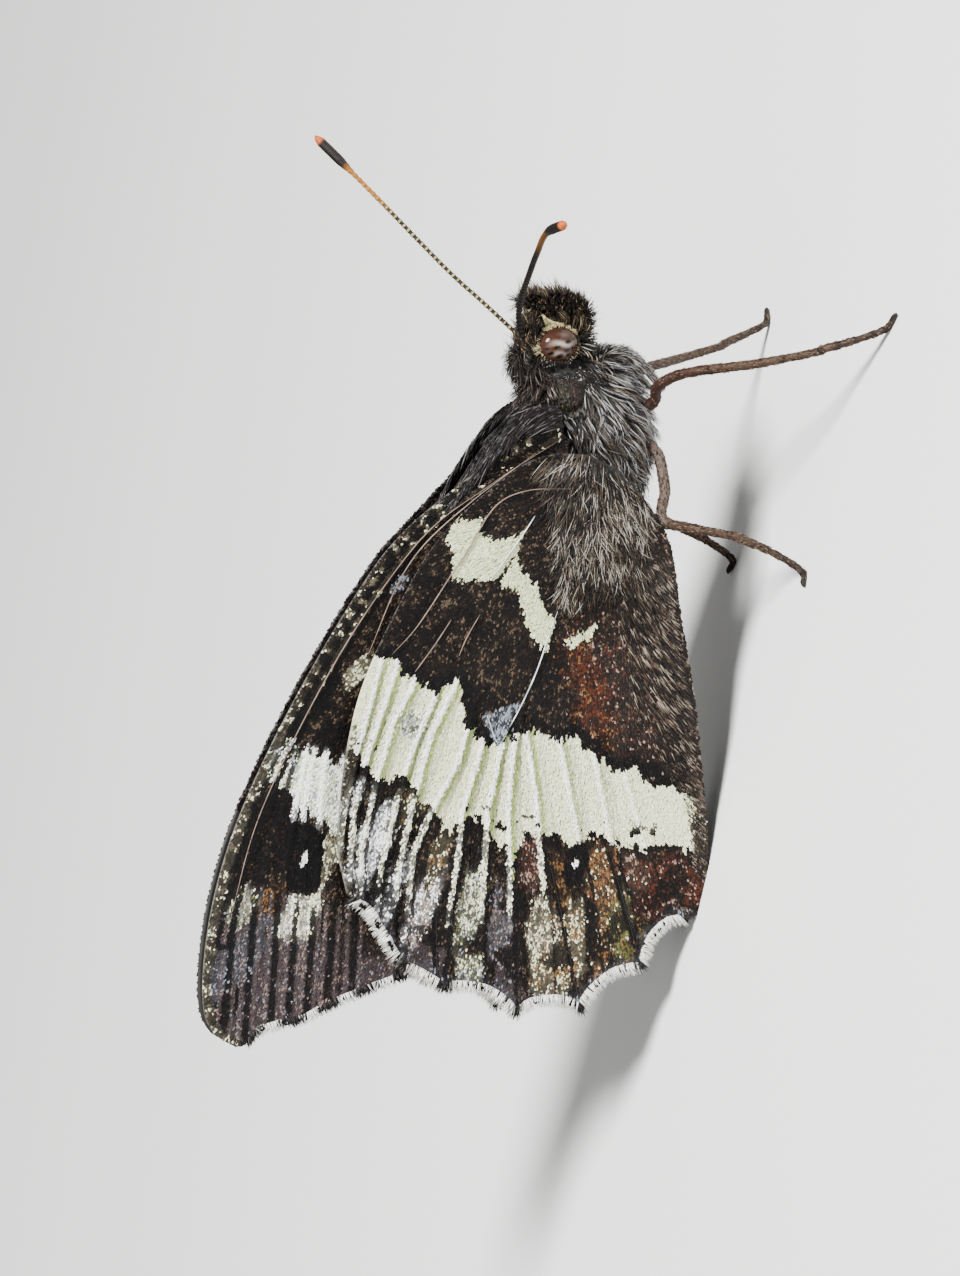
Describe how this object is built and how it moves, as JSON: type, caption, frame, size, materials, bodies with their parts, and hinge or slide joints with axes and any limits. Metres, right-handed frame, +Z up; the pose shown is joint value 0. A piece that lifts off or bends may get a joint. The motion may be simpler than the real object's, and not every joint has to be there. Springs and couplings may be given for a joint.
{
  "type": "great banded grayling butterfly",
  "caption": "Butterfly resting on the floor with its wings closed over its back, on slender legs, with clubbed antennae spread, as a still museum model.",
  "frame": {"origin": "on the floor, under the middle of the whole animal's box; the body's middle plane is 2.3 mm to the +X side of it, because the right antenna reaches out to -X", "axes": "+Z up from the floor, -Y the way the animal faces, -X its right side"},
  "size_m": [0.0253, 0.0494, 0.0299],
  "materials": {
    "head_hair": "short dark hair and scales",
    "body_hair": "grey hair",
    "eye": "glossy faceted cornea",
    "antenna": "fine rings of scales",
    "leg": "scaled",
    "forewing": "scaled membrane",
    "hindwing": "scaled membrane"
  },
  "bodies": {
    "root": {"head": "head_hair", "eye_right": "eye", "eye_left": "eye", "palp_right": "head_hair", "palp_left": "head_hair", "antenna_right": "antenna", "antenna_left": "antenna", "thorax": "body_hair", "abdomen": "body_hair", "forewing_right": "forewing", "forewing_left": "forewing", "hindwing_right": "hindwing", "hindwing_left": "hindwing", "foreleg_right": "leg", "foreleg_left": "leg", "midleg_right": "leg", "midleg_left": "leg", "hindleg_right": "leg", "hindleg_left": "leg"}
  },
  "joints": []
}
